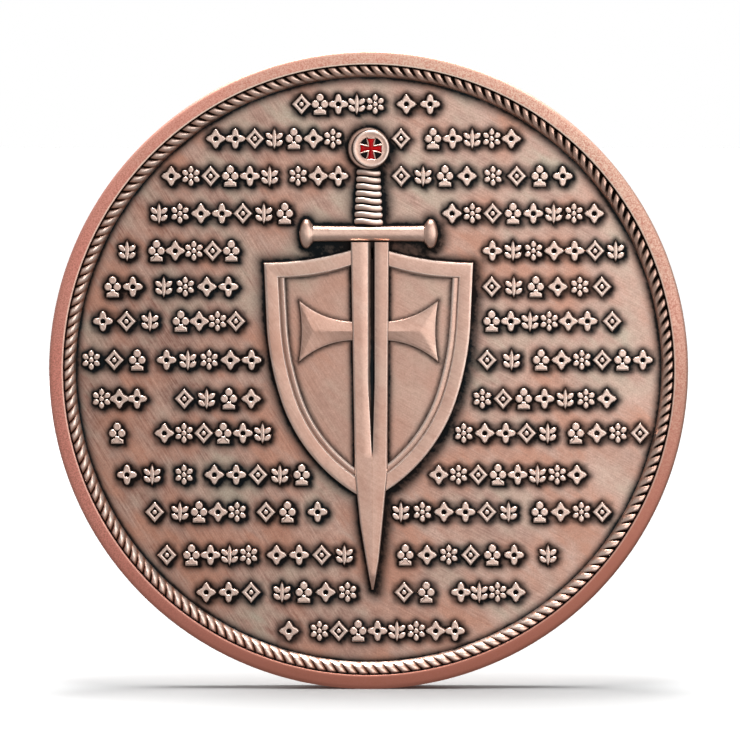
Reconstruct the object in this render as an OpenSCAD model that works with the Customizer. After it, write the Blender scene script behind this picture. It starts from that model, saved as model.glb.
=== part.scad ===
// Challenge coin: a struck copper-finish medal with a sword laid over a heater shield,
// a rope border on both faces, soft enamel in the pommel and rows of raised ornament.
// The coin stands on its edge: its axis is Y, the obverse faces -Y and +Z is up.

/* [Coin] */
// Outside diameter of the coin
coin_d = 44.45; // [44.2:0.05:46]
// Thickness over the two rims
coin_t = 3.5; // [3.2:0.1:5]
// Width of the flat rim face
rim_w = 0.97; // [0.8:0.01:1.0]
// Depth of each field below its rim
field_depth = 0.75; // [0.72:0.01:1]
// Chamfer on the two outer edges
edge_chamfer = 0.18; // [0.1:0.01:0.3]

/* [Rope border] */
// Number of strands round the border
strand_count = 180; // [120:1:200]
// Radial width of the rope
rope_w = 0.84; // [0.6:0.01:0.9]
// Clear gap between the rope and the rim wall
rope_gap = 0.04; // [0.02:0.01:0.12]
// Height of the rope above the field
rope_rise = 0.42; // [0.2:0.01:0.7]
// Share of each strand's pitch that is metal
strand_fill = 0.8; // [0.5:0.01:0.9]

/* [Shield] */
// Height of the shield plate above the field
plate_rise = 0.12; // [0.05:0.01:0.2]
// Height of the shield's frame above the field
frame_rise = 0.4; // [0.3:0.01:0.6]
// Width of the frame's flat face
frame_w = 1.0; // [0.7:0.05:1.3]
// Width of the bevelled ledge inside the frame
ledge_w = 0.45; // [0.2:0.05:0.6]
// Height of the ledge above the field
ledge_rise = 0.24; // [0.21:0.01:0.29]
// Height of the cross arms above the field
cross_rise = 0.46; // [0.3:0.01:0.6]

/* [Sword] */
// Height of the blade's centre above the field
blade_rise = 0.6; // [0.5:0.01:0.7]
// Height of the blade at its two edges
blade_edge_rise = 0.48; // [0.45:0.01:0.5]
// Radius of the half-round crossguard
guard_r = 0.58; // [0.5:0.01:0.65]
// Height of the guard's end knobs above the field
knob_rise = 0.68; // [0.6:0.01:0.7]
// Number of wire wraps on the grip
wrap_count = 8; // [5:1:10]
// Height of the grip's core above the field
grip_rise = 0.3; // [0.2:0.01:0.4]
// Height of the wire wraps above the core
wrap_rise = 0.18; // [0.1:0.01:0.2]
// Height of the pommel above the field
pommel_rise = 0.7; // [0.6:0.01:0.7]
// Depth of the enamel recess in the pommel
enamel_depth = 0.22; // [0.1:0.01:0.3]

/* [Ornament] */
// Height of one ornament, bottom to top
ornament_h = 1.44; // [1:0.02:1.6]
// Distance from one ornament to the next in a run
ornament_pitch = 1.42; // [1.38:0.02:2]
// Height of the ornament above the field
ornament_rise = 0.34; // [0.15:0.01:0.6]
// Width of a thin stroke in the ornament
stroke = 0.27; // [0.2:0.01:0.32]

/* [Reverse] */
// Radius of the plain ring round the engraving panel
panel_r = 15.4; // [8:0.1:18]
// Width of that ring
panel_ring_w = 0.7; // [0.3:0.05:1.5]
// Height of that ring above the field
panel_ring_rise = 0.36; // [0.1:0.01:0.6]

/* [Hidden] */
coin_r = coin_d / 2;
rim_r = coin_r - rim_w;
field_y = coin_t / 2 - field_depth;
rope_out = rim_r - rope_gap;
rope_in = rope_out - rope_w;
round_fn = 180;
small_fn = 48;
// length of the prisms that cut the relief, longer than anything they cut
reach = 60;

// shield outline: one side runs straight down, then round two arcs to the point
shield_x = 7.27;
shield_z = 7.45;
shield_peak = 8.73;
side_len = 4;
side_tilt = 2.4;
side_r = 20.4;
side_sweep = 16;
point_r = 12;

// cross arms, left and right of the blade
cross_z = 2.72;
arm_tip_x = 4.85;
arm_tip_h = 2.14;
arm_root_x = 0.6;
arm_root_h = 0.62;

// sword, from the top down
pommel_z = 15.42;
pommel_base_r = 1.45;
pommel_face_r = 1.27;
pommel_face_x = 0.17;
pommel_base_rise = 0.44;
grip_top = pommel_z - pommel_base_r;
guard_z = 9.49;
guard_half = 3.85;
knob_w = 0.95;
knob_h = 2.08;
grip_bottom = guard_z + guard_r;
grip_top_w = 1.63;
grip_bottom_w = 2;
blade_top = guard_z - guard_r;
blade_taper_z = -13.2;
blade_tip = [0.27, -15.3];
fuller_end = -5.9;
fuller_depth = 0.24;

// enamel cross on the pommel: arm length and half-widths, and the pits between arms
enamel_len = 0.76;
enamel_root = 0.11;
enamel_flare = 0.27;
pit_in = 0.25;
pit_out = 0.8;
wall = 0.09;

// runs of ornament, one row a line: height of the row, then the start and end of each run
ROWS = [
    [18.5, [[-5.3, 1.1], [1.8, 5.1]]],
    [16.1, [[-11.3, -1.8], [1.75, 2.75], [3.8, 10.6]]],
    [13.5, [[-14.4, -6.2], [-5.6, -1.4], [1.5, 7.6], [8.2, 9.1], [9.5, 14.3]]],
    [10.9, [[-15.3, -5.1], [5.1, 16.4]]],
    [8.3, [[-17.3, -16.3], [-15.4, -8.9], [7.9, 17.9]]],
    [5.8, [[-18.5, -15.7], [-15, -9], [7.8, 17]]],
    [3.4, [[-19.3, -14.4], [-13.7, -8.6], [7.9, 15.9], [16.4, 17.5]]],
    [0.7, [[-20.1, -15.3], [-14.8, -7.4], [7.4, 10.8], [11.3, 19.8]]],
    [-2, [[-19.2, -15.5], [-13.6, -7.4], [7.2, 17.3]]],
    [-4.4, [[-18, -17], [-14.9, -6.7], [5.9, 13.2], [13.7, 18.1], [18.4, 19.4]]],
    [-7.3, [[-17.7, -14.2], [-13.6, -12.1], [-11.5, -3.9], [4.2, 15.2]]],
    [-9.9, [[-15.4, -14.4], [-13.8, -8.5], [-7.9, -4.9], [-4.4, -2.7], [1.5, 10.5], [11.2, 17]]],
    [-12.9, [[-14.6, -13.5], [-13, -7.7], [-7.2, -0.9], [1.8, 10.9], [12, 13]]],
    [-15.5, [[-12.1, -7.4], [-6.8, -0.7], [1.7, 4.8], [5.8, 10.9]]],
    [-18.2, [[-6.4, -4.7], [-4.1, 6.7]]]
];
// order in which the six kinds of ornament follow each other
MOTIFS = [0, 3, 1, 4, 2, 5, 1, 0, 4, 3, 5, 2];

copper = [0.72, 0.47, 0.4];
copper_light = [0.8, 0.62, 0.54];
copper_dark = [0.52, 0.4, 0.35];
enamel_red = [0.78, 0.07, 0.06];

// ---- shared shapes ----

// Stands an outline drawn in X and Z on the obverse field, from one height to another.
module obverse(from, to) {
    translate([0, -field_y - from, 0])
        rotate([90, 0, 0])
            linear_extrude(to - from)
                children();
}

// The half space in front of the obverse field.
module above_field() {
    translate([-reach / 2, -field_y - reach, -reach / 2])
        cube(reach);
}

function polar(c, r, a) = [c[0] + r * cos(a), c[1] + r * sin(a)];

// Right side of the shield, inset by d, from the top corner down to the point.
side_foot = [shield_x, shield_z] - side_len * [sin(side_tilt), cos(side_tilt)];
side_centre = side_foot - side_r * [cos(side_tilt), -sin(side_tilt)];
bend = side_tilt + side_sweep;
point_centre = side_centre + (side_r - point_r) * [cos(bend), -sin(bend)];
function upper_arc(d) = [
    for (k = [0:6])
        polar(side_centre, side_r - d, -side_tilt - side_sweep * k / 6)
];
// the lower arc stops where it meets the centre line
function lower_end(d) = acos(-point_centre[0] / (point_r - d));
function lower_arc(d) = [
    for (k = [1:12])
        polar(point_centre, point_r - d, -bend - (lower_end(d) - bend) * k / 12)
];
// the top edge is level at the corner and sweeps up to the peak; it is inset by its own amount
function top_run(d, top_d) = [
    for (k = [0:8])
        let (t = k / 8)
            [(shield_x - d) * t, shield_z - top_d + (shield_peak - shield_z) * pow(1 - t, 2)]
];
function right_side(d, top_d) = concat(top_run(d, top_d), upper_arc(d), lower_arc(d));
function mirrored(p) = [for (k = [len(p) - 2:-1:1]) [-p[k][0], p[k][1]]];

module shield_outline(d, top_d) {
    polygon(concat(right_side(d, top_d), mirrored(right_side(d, top_d))));
}

// Blade outline: the left half is the wider one, and both halves narrow to the tip.
module blade_outline() {
    polygon([
        [-1.24, blade_top], [1.42, blade_top], [1.29, -7.3], [0.98, -10.6],
        [0.72, blade_taper_z], blade_tip, [-0.18, blade_taper_z], [-0.6, -10.6],
        [-0.94, -7.3]
    ]);
}

// ---- ornament: none of these shapes is a letter or a numeral ----

module lozenge(w, h) {
    polygon([[w / 2, 0], [0, h / 2], [-w / 2, 0], [0, -h / 2]]);
}

module petals(count, r, at, turn) {
    for (k = [0:count - 1])
        rotate(turn + 360 * k / count)
            translate([at, 0])
                circle(r, $fn = 24);
}

module leaf(len, w) {
    polygon([[0, 0], [len * 0.45, w / 2], [len, 0], [len * 0.45, -w / 2]]);
}

// An open lozenge round a pellet.
module open_lozenge(h) {
    difference() {
        lozenge(h * 0.92, h);
        lozenge(h * 0.92 - stroke * 2.6, h - stroke * 2.8);
    }
    circle(h * 0.11, $fn = 24);
}

// Four lobes round a hole.
module quatrefoil(h) {
    difference() {
        petals(4, h * 0.21, h * 0.27, 0);
        circle(h * 0.12, $fn = 24);
    }
}

// Six pellets round a seventh.
module rosette(h) {
    petals(6, h * 0.14, h * 0.34, 30);
    circle(h * 0.15, $fn = 24);
}

// Three lobes on a waisted foot.
module trefoil(h) {
    translate([0, h * 0.07])
        petals(3, h * 0.19, h * 0.24, 90);
    polygon([
        [-stroke / 3, 0], [stroke / 3, 0], [h * 0.3, -h / 2], [-h * 0.3, -h / 2]
    ]);
}

// Two pairs of leaves and a top leaf on a stem.
module sprig(h) {
    translate([0, -h / 2])
        rotate(90)
            leaf(h, stroke * 1.1);
    for (level = [0.1, 0.42])
        for (turn = [35, 145])
            translate([0, h * (level - 0.5)])
                rotate(turn)
                    leaf(h * 0.5, h * 0.24);
}

// A star with a hole, four long points and four short ones.
module star(h) {
    difference() {
        polygon([
            for (k = [0:15])
                polar([0, 0], k % 2 == 1 ? h * 0.29 : k % 4 == 0 ? h * 0.48 : h * 0.42, k * 22.5)
        ]);
        circle(h * 0.12, $fn = 24);
    }
}

module ornament(kind, h) {
    if (kind == 0) open_lozenge(h);
    if (kind == 1) quatrefoil(h);
    if (kind == 2) rosette(h);
    if (kind == 3) trefoil(h);
    if (kind == 4) sprig(h);
    if (kind == 5) star(h);
}

// One run of ornament fills its stretch evenly. The motifs follow on from run to run.
function run_count(span) = max(1, round((span[1] - span[0]) / ornament_pitch));
function count_before(row, run) =
    run == 0 ? 0 : count_before(row, run - 1) + run_count(ROWS[row][1][run - 1]);

module ornament_run(row, run) {
    span = ROWS[row][1][run];
    step = (span[1] - span[0]) / run_count(span);
    for (k = [0:run_count(span) - 1])
        translate([span[0] + step * (k + 0.5), 0])
            ornament(MOTIFS[(k + count_before(row, run) + row * 5) % len(MOTIFS)], ornament_h);
}

module ornament_row(row) {
    color(copper_light)
        obverse(0, ornament_rise)
            translate([0, ROWS[row][0]])
                for (run = [0:len(ROWS[row][1]) - 1])
                    ornament_run(row, run);
}

// ---- coin and borders ----

// The blank: a web between two sunk fields, inside a full-height rim.
module coin_blank() {
    half = coin_t / 2;
    color(copper)
        rotate([90, 0, 0])
            rotate_extrude($fn = round_fn)
                polygon([
                    [0, -field_y], [rim_r, -field_y], [rim_r, -half],
                    [coin_r - edge_chamfer, -half], [coin_r, -half + edge_chamfer],
                    [coin_r, half - edge_chamfer], [coin_r - edge_chamfer, half],
                    [rim_r, half], [rim_r, field_y], [0, field_y]
                ]);
}

// Slanted strands, each leaning one pitch on its way in from the rim.
module rope_outline() {
    pitch = 360 / strand_count;
    half_strand = pitch * strand_fill / 2;
    for (k = [0:strand_count - 1])
        polygon([
            polar([0, 0], rope_out, k * pitch - half_strand),
            polar([0, 0], rope_out, k * pitch + half_strand),
            polar([0, 0], rope_in, (k - 1) * pitch + half_strand),
            polar([0, 0], rope_in, (k - 1) * pitch - half_strand)
        ]);
}

module rope_border_obverse() {
    color(copper_light)
        obverse(0, rope_rise)
            rope_outline();
}

module rope_border_reverse() {
    color(copper_light)
        rotate([0, 0, 180])
            obverse(0, rope_rise)
                rope_outline();
}

module panel_ring_reverse() {
    color(copper_light)
        rotate([0, 0, 180])
            obverse(0, panel_ring_rise)
                difference() {
                    circle(panel_r, $fn = round_fn);
                    circle(panel_r - panel_ring_w, $fn = round_fn);
                }
}

// ---- shield ----

module shield_plate() {
    color(copper_dark)
        obverse(0, plate_rise)
            shield_outline(0, 0);
}

module shield_frame() {
    color(copper_light)
        obverse(plate_rise, frame_rise)
            difference() {
                shield_outline(0, 0);
                shield_outline(frame_w, frame_w);
                blade_outline();
            }
}

// A lower ledge steps down from the frame to the plate along the sides, but not along the top.
module shield_ledge() {
    color(copper)
        obverse(plate_rise, ledge_rise)
            difference() {
                shield_outline(frame_w, frame_w);
                shield_outline(frame_w + ledge_w, frame_w / 2);
                blade_outline();
            }
}

// Right arm of the cross: its edges flare out in hollow curves to two points.
function arm_edge() = [
    for (k = [0:10])
        let (t = k / 10)
            [
                arm_root_x + (arm_tip_x - arm_root_x) * t,
                arm_root_h + (arm_tip_h - arm_root_h) * pow(t, 2.4)
            ]
];
module cross_arm() {
    edge = arm_edge();
    polygon(concat(
        edge,
        [[arm_tip_x - 0.2, 0]],
        [for (k = [len(edge) - 1:-1:0]) [edge[k][0], -edge[k][1]]]
    ));
}

module shield_cross() {
    color(copper_light)
        obverse(plate_rise, cross_rise)
            difference() {
                translate([0, cross_z]) {
                    cross_arm();
                    mirror([1, 0])
                        cross_arm();
                }
                blade_outline();
            }
}

// ---- sword ----

// Two slopes rise from the edges to the middle, with a fuller down the upper part.
module sword_blade() {
    color(copper_light)
        difference() {
            intersection() {
                obverse(0, blade_rise)
                    blade_outline();
                translate([0.2, -field_y, -reach / 2])
                    linear_extrude(reach)
                        polygon([
                            [-2, 0], [-2, -blade_edge_rise + 0.1], [0, -blade_rise],
                            [2, -blade_edge_rise + 0.1], [2, 0]
                        ]);
            }
            obverse(-1, plate_rise)
                shield_outline(0, 0);
            obverse(blade_rise - fuller_depth, blade_rise + 1)
                polygon([
                    [0, blade_top + 1], [0.4, blade_top + 1], [0.4, fuller_end + 4],
                    [0.24, fuller_end], [0.16, fuller_end], [0, fuller_end + 4]
                ]);
        }
}

module sword_guard() {
    color(copper_light)
        intersection() {
            translate([-guard_half, -field_y, guard_z])
                rotate([0, 90, 0])
                    cylinder(h = guard_half * 2, r = guard_r, $fn = small_fn);
            above_field();
        }
}

// Each knob is a round lens, sunk until it shows its height above the field.
knob_half = knob_h / 2;
knob_r = (knob_half * knob_half + knob_rise * knob_rise) / (2 * knob_rise);
module guard_knob() {
    intersection() {
        translate([guard_half, -field_y + knob_r - knob_rise, guard_z])
            rotate([0, 90, 0])
                rotate_extrude($fn = small_fn)
                    polygon([
                        [0, 0], [knob_r * 0.9, 0], [knob_r, knob_w * 0.2],
                        [knob_r, knob_w * 0.5], [knob_r * 0.8, knob_w * 0.85],
                        [knob_r * 0.5, knob_w], [0, knob_w]
                    ]);
        above_field();
    }
}

module guard_knobs() {
    color(copper_light) {
        guard_knob();
        mirror([1, 0, 0])
            guard_knob();
    }
}

function grip_half(z) =
    let (t = (z - grip_bottom) / (grip_top - grip_bottom))
        (grip_bottom_w * (1 - t) + grip_top_w * t) / 2;

module sword_grip() {
    color(copper_dark)
        obverse(0, grip_rise)
            polygon([
                [-grip_half(grip_bottom), grip_bottom], [grip_half(grip_bottom), grip_bottom],
                [grip_half(grip_top), grip_top], [-grip_half(grip_top), grip_top]
            ]);
}

// Round wires lie side by side across the core.
module grip_wraps() {
    pitch = (grip_top - grip_bottom) / wrap_count;
    wire_r = pitch * 0.46;
    color(copper_light)
        for (k = [0:wrap_count - 1])
            let (z = grip_bottom + pitch * (k + 0.5))
                intersection() {
                    translate([-grip_half(z), -field_y - grip_rise - wrap_rise + wire_r, z])
                        rotate([0, 90, 0])
                            cylinder(h = grip_half(z) * 2, r = wire_r, $fn = small_fn);
                    translate([-reach / 2, -field_y - grip_rise - reach, -reach / 2])
                        cube(reach);
                }
}

// Right arm of the enamel cross, grown by g.
module enamel_arm(g) {
    polygon([
        [0, -enamel_root - g], [enamel_len + g, -enamel_flare - g],
        [enamel_len - 0.06 + g, 0], [enamel_len + g, enamel_flare + g],
        [0, enamel_root + g]
    ]);
}

module enamel_cross(g) {
    for (turn = [0:90:270])
        rotate(turn)
            enamel_arm(g);
}

// The pits are what is left between the arms, inside a circle and clear of the walls.
module pommel_pits() {
    difference() {
        circle(pit_out, $fn = small_fn);
        circle(pit_in, $fn = small_fn);
        enamel_cross(wall);
    }
}

module sword_pommel() {
    color(copper_light)
        difference() {
            union() {
                obverse(0, pommel_base_rise)
                    translate([0, pommel_z])
                        circle(pommel_base_r, $fn = small_fn);
                obverse(pommel_base_rise, pommel_rise)
                    translate([pommel_face_x, pommel_z])
                        circle(pommel_face_r, $fn = small_fn);
            }
            obverse(pommel_rise - enamel_depth, pommel_rise + 1)
                translate([pommel_face_x, pommel_z]) {
                    enamel_cross(0);
                    pommel_pits();
                }
        }
}

module pommel_enamel() {
    color(enamel_red)
        obverse(pommel_rise - enamel_depth, pommel_rise - 0.04)
            translate([pommel_face_x, pommel_z])
                enamel_cross(0);
}

coin_blank();
rope_border_obverse();
rope_border_reverse();
panel_ring_reverse();
shield_plate();
shield_frame();
shield_ledge();
shield_cross();
sword_blade();
sword_guard();
guard_knobs();
sword_grip();
grip_wraps();
sword_pommel();
pommel_enamel();
ornament_row(0);  // ornament_row_01
ornament_row(1);  // ornament_row_02
ornament_row(2);  // ornament_row_03
ornament_row(3);  // ornament_row_04
ornament_row(4);  // ornament_row_05
ornament_row(5);  // ornament_row_06
ornament_row(6);  // ornament_row_07
ornament_row(7);  // ornament_row_08
ornament_row(8);  // ornament_row_09
ornament_row(9);  // ornament_row_10
ornament_row(10);  // ornament_row_11
ornament_row(11);  // ornament_row_12
ornament_row(12);  // ornament_row_13
ornament_row(13);  // ornament_row_14
ornament_row(14);  // ornament_row_15
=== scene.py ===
import math

import bmesh
import bpy
import numpy as np
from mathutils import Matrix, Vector, geometry, kdtree


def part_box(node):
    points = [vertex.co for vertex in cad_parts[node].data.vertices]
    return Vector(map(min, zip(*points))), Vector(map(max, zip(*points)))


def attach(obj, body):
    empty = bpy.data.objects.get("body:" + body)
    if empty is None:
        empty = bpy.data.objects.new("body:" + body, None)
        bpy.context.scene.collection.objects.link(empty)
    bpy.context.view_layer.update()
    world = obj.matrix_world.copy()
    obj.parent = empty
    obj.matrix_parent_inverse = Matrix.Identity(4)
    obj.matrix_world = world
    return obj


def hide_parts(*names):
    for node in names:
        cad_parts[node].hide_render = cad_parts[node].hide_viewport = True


# Challenge coin. Lengths in this script are millimetres on the coin's face: x to the right,
# z up and h the height above the field. place() turns them into the frame's metres.

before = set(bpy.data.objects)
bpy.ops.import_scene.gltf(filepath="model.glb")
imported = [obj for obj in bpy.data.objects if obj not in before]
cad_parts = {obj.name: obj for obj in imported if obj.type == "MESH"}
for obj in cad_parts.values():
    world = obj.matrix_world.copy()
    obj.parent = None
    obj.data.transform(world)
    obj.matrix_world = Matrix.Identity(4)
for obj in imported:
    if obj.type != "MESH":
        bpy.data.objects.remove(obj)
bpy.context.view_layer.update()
MM = 0.001
rng = np.random.default_rng(7)

# ---- sizes taken from the frame ----


def node_mm(node):
    """The node's lowest and highest corners, in millimetres."""
    low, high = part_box(node)
    return np.array(low) / MM, np.array(high) / MM


BLANK_LOW, BLANK_HIGH = node_mm("coin_blank")
ROPE_LOW, ROPE_HIGH = node_mm("rope_border_obverse")
COIN_R = BLANK_HIGH[0]
HALF_T = BLANK_HIGH[1]
FIELD_Y = -ROPE_HIGH[1]
ROPE_OUT = ROPE_HIGH[0]
ROPE_RISE = ROPE_HIGH[1] - ROPE_LOW[1]
ROPE_W = 0.84
RIM_R = ROPE_OUT + 0.04
FLOOR_Z = BLANK_LOW[2]


def top_of(node):
    """Height of an obverse node's highest point above the field."""
    return -FIELD_Y - node_mm(node)[0][1]


def middle(node):
    low, high = node_mm(node)
    return (low + high) / 2


# ---- meshes ----


def place(x, z, h, back=False):
    """A point on the coin's face, in metres. The reverse is the obverse turned round."""
    if back:
        return (-x * MM, (FIELD_Y + h) * MM, z * MM)
    return (x * MM, (-FIELD_Y - h) * MM, z * MM)


class Shape:
    """Collects points (x, z, h), their finish and faces, then makes one closed piece."""

    def __init__(self):
        self.points = []
        self.finish = []
        self.faces = []

    def ring(self, xz, h, dark=0.0, wear_and_highlight=0.0):
        """Adds points and returns their numbers. h and the finish values may be arrays."""
        start = len(self.points)
        n = len(xz)
        h = np.broadcast_to(h, n)
        dark = np.broadcast_to(dark, n)
        wear_and_highlight = np.broadcast_to(wear_and_highlight, n)
        for i in range(n):
            self.points.append((xz[i][0], xz[i][1], h[i]))
            self.finish.append((dark[i], wear_and_highlight[i]))
        return list(range(start, start + n))

    def band(self, a, b):
        """Joins two closed rings of the same length with four-sided faces."""
        n = len(a)
        for i in range(n):
            j = (i + 1) % n
            self.faces.append((a[i], a[j], b[j], b[i]))

    def bands(self, rings):
        for a, b in zip(rings, rings[1:]):
            self.band(a, b)

    def cap(self, *rings):
        """Fills one ring, or a ring and its holes, with flat faces."""
        if len(rings) == 1:
            self.faces.append(tuple(rings[0]))
            return
        loops = [[Vector((*self.points[i][:2], 0)) for i in r] for r in rings]
        numbers = [i for r in rings for i in r]
        for tri in geometry.tessellate_polygon(loops):
            self.faces.append(tuple(numbers[i] for i in tri))

    def tube(self, rings):
        """Joins rings in order and closes both ends."""
        self.bands(rings)
        self.cap(rings[0])
        self.cap(rings[-1])

    def make(self, name, node, material, back=False, sharp=32):
        mesh = bpy.data.meshes.new(name)
        mesh.from_pydata([place(*p, back=back) for p in self.points], [], self.faces)
        mesh.update()
        colours = np.zeros((len(self.points), 4), dtype=np.float32)
        colours[:, :2] = self.finish
        colours[:, 3] = 1
        layer = mesh.color_attributes.new("finish", "FLOAT_COLOR", "POINT")
        layer.data.foreach_set("color", colours.ravel())
        return finish_piece(mesh, name, node, material, sharp)


def new_object(name, data):
    thing = bpy.data.objects.new(name, data)
    bpy.context.scene.collection.objects.link(thing)
    return thing


def finish_piece(mesh, name, node, material, sharp):
    """Turns a mesh's faces outwards, shades it and fastens the piece to the frame."""
    bm = bmesh.new()
    bm.from_mesh(mesh)
    bmesh.ops.recalc_face_normals(bm, faces=bm.faces)
    bm.to_mesh(mesh)
    bm.free()
    mesh.shade_smooth()
    mesh.set_sharp_from_angle(angle=math.radians(sharp))
    mesh.materials.append(material)
    piece = new_object(name, mesh)
    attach(piece, "root")
    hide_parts(node)
    return piece


def resample(points, step):
    """Splits the sides of a closed outline so that no side is longer than step."""
    out = []
    for a, b in zip(points, np.roll(points, -1, axis=0)):
        count = max(1, math.ceil(np.hypot(*(b - a)) / step))
        out += [a + (b - a) * k / count for k in range(count)]
    return np.array(out)


def outward(points):
    """Mitred normals of an anticlockwise outline, so that an offset keeps its sides parallel."""
    ahead = np.roll(points, -1, axis=0) - points
    ahead /= np.maximum(np.linalg.norm(ahead, axis=1, keepdims=True), 1e-9)
    behind = np.roll(ahead, 1, axis=0)
    n1 = np.stack([ahead[:, 1], -ahead[:, 0]], axis=1)
    n2 = np.stack([behind[:, 1], -behind[:, 0]], axis=1)
    mid = n1 + n2
    length = np.maximum(np.linalg.norm(mid, axis=1, keepdims=True), 1e-6)
    mid /= length
    miter = 1 / np.maximum((mid * n1).sum(axis=1, keepdims=True), 0.45)
    return mid * miter


# Outlines of what stands on the obverse: small and large forms on the field, and forms on the
# shield's ground. Patina and painted shade gather round them.
FEET = {"fine": [], "bold": [], "inner": []}
# how far a raised form's walls lean out, and the height of their foot, just below the surface
DRAFT = 0.07
FOOT_H = -0.02


def add_foot(points, kind):
    FEET[kind].append(resample(points, 0.12))


def raised(shape, outer, holes, top, edge=0.07, foot="fine"):
    """A raised form with drafted walls and rounded edges from an anticlockwise outline."""
    if foot:
        add_foot(outer, foot)
        for hole in holes:
            add_foot(hole, foot)
    steps = [
        (DRAFT, FOOT_H, 1.0, 0.0),
        (DRAFT * 0.45, top * 0.55, 0.75, 0.0),
        (0.0, top - edge, 0.25, 0.1),
        (-edge * 0.35, top - edge * 0.35, 0.0, 1.0),
        (-edge * 1.2, top, 0.0, 0.9),
        (-edge * 1.8, top, 0.0, 0.4),
    ]
    caps = []
    floors = []
    for loop in [outer] + holes:
        normal = outward(loop)
        rings = [shape.ring(loop + normal * d, h, dark, wear_and_highlight) for d, h, dark, wear_and_highlight in steps]
        shape.bands(rings)
        caps.append(rings[-1])
        floors.append(rings[0])
    shape.cap(*caps)
    shape.cap(*floors)


def circle(x, z, r, count=24):
    a = np.arange(count) * 2 * math.pi / count
    return np.stack([x + r * np.cos(a), z + r * np.sin(a)], axis=1)


# ---- materials ----


class Nodes:
    """A short way to write a material's nodes."""

    def __init__(self, name):
        self.material = bpy.data.materials.new(name)
        self.material.use_nodes = True
        self.tree = self.material.node_tree
        self.shader = self.tree.nodes["Principled BSDF"]

    def add(self, kind, inputs=None, **settings):
        node = self.tree.nodes.new(kind)
        for key, value in settings.items():
            setattr(node, key, value)
        for key, value in (inputs or {}).items():
            self.set(node.inputs[key], value)
        return node

    def set(self, socket, value):
        if isinstance(value, bpy.types.NodeSocket):
            self.tree.links.new(value, socket)
        else:
            socket.default_value = value

    def out(self, name, value):
        """Sets the shader's own socket, or links it."""
        self.set(self.shader.inputs[name], value)

    def bump(self, height, strength, distance):
        node = self.add("ShaderNodeBump", {
            "Height": height, "Strength": strength, "Distance": distance,
        })
        self.out("Normal", node.outputs[0])

    def sources(self):
        """The piece's patina and painted shade, its wear and painted highlights, the place on it,
        and that place's x, y and z.
        """
        finish = self.add("ShaderNodeAttribute", attribute_name="finish")
        parts = self.add("ShaderNodeSeparateColor", {"Color": finish.outputs["Color"]})
        spot = self.add("ShaderNodeTexCoord").outputs["Object"]
        axes = self.add("ShaderNodeSeparateXYZ", {"Vector": spot}).outputs
        return parts.outputs[0], parts.outputs[1], spot, axes

    def math(self, operation, a, b=0.0, c=0.0, clamp=False):
        node = self.add("ShaderNodeMath", {0: a, 1: b, 2: c}, operation=operation)
        node.use_clamp = clamp
        return node.outputs[0]

    def noise(self, vector, scale, detail=2.0, roughness=0.5):
        node = self.add("ShaderNodeTexNoise", {
            "Vector": vector, "Scale": scale, "Detail": detail, "Roughness": roughness,
        })
        return node.outputs["Fac"]

    def ramp(self, value, low, high, to_low=0.0, to_high=1.0):
        node = self.add("ShaderNodeMapRange", {
            "Value": value, "From Min": low, "From Max": high,
            "To Min": to_low, "To Max": to_high,
        })
        return node.outputs[0]

    def mix(self, factor, a, b):
        node = self.add("ShaderNodeMix", data_type="RGBA")
        self.set(node.inputs["Factor"], factor)
        self.set(node.inputs[6], a)
        self.set(node.inputs[7], b)
        return node.outputs[2]

    def turned(self, vector, angle, scale):
        """Turns the face's pattern about the coin's axis, then stretches it."""
        turned = self.add("ShaderNodeVectorRotate", {
            "Vector": vector, "Axis": (0, 1, 0), "Angle": math.radians(angle),
        })
        node = self.add("ShaderNodeMapping", {
            "Vector": turned.outputs[0], "Scale": scale,
        })
        return node.outputs[0]


def rgb(r, g, b):
    """A colour given as it looks on a screen, 0 to 255, as linear light."""
    def linear(v):
        v /= 255
        return v / 12.92 if v <= 0.04045 else ((v + 0.055) / 1.055) ** 2.4
    return (linear(r), linear(g), linear(b), 1)


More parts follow.
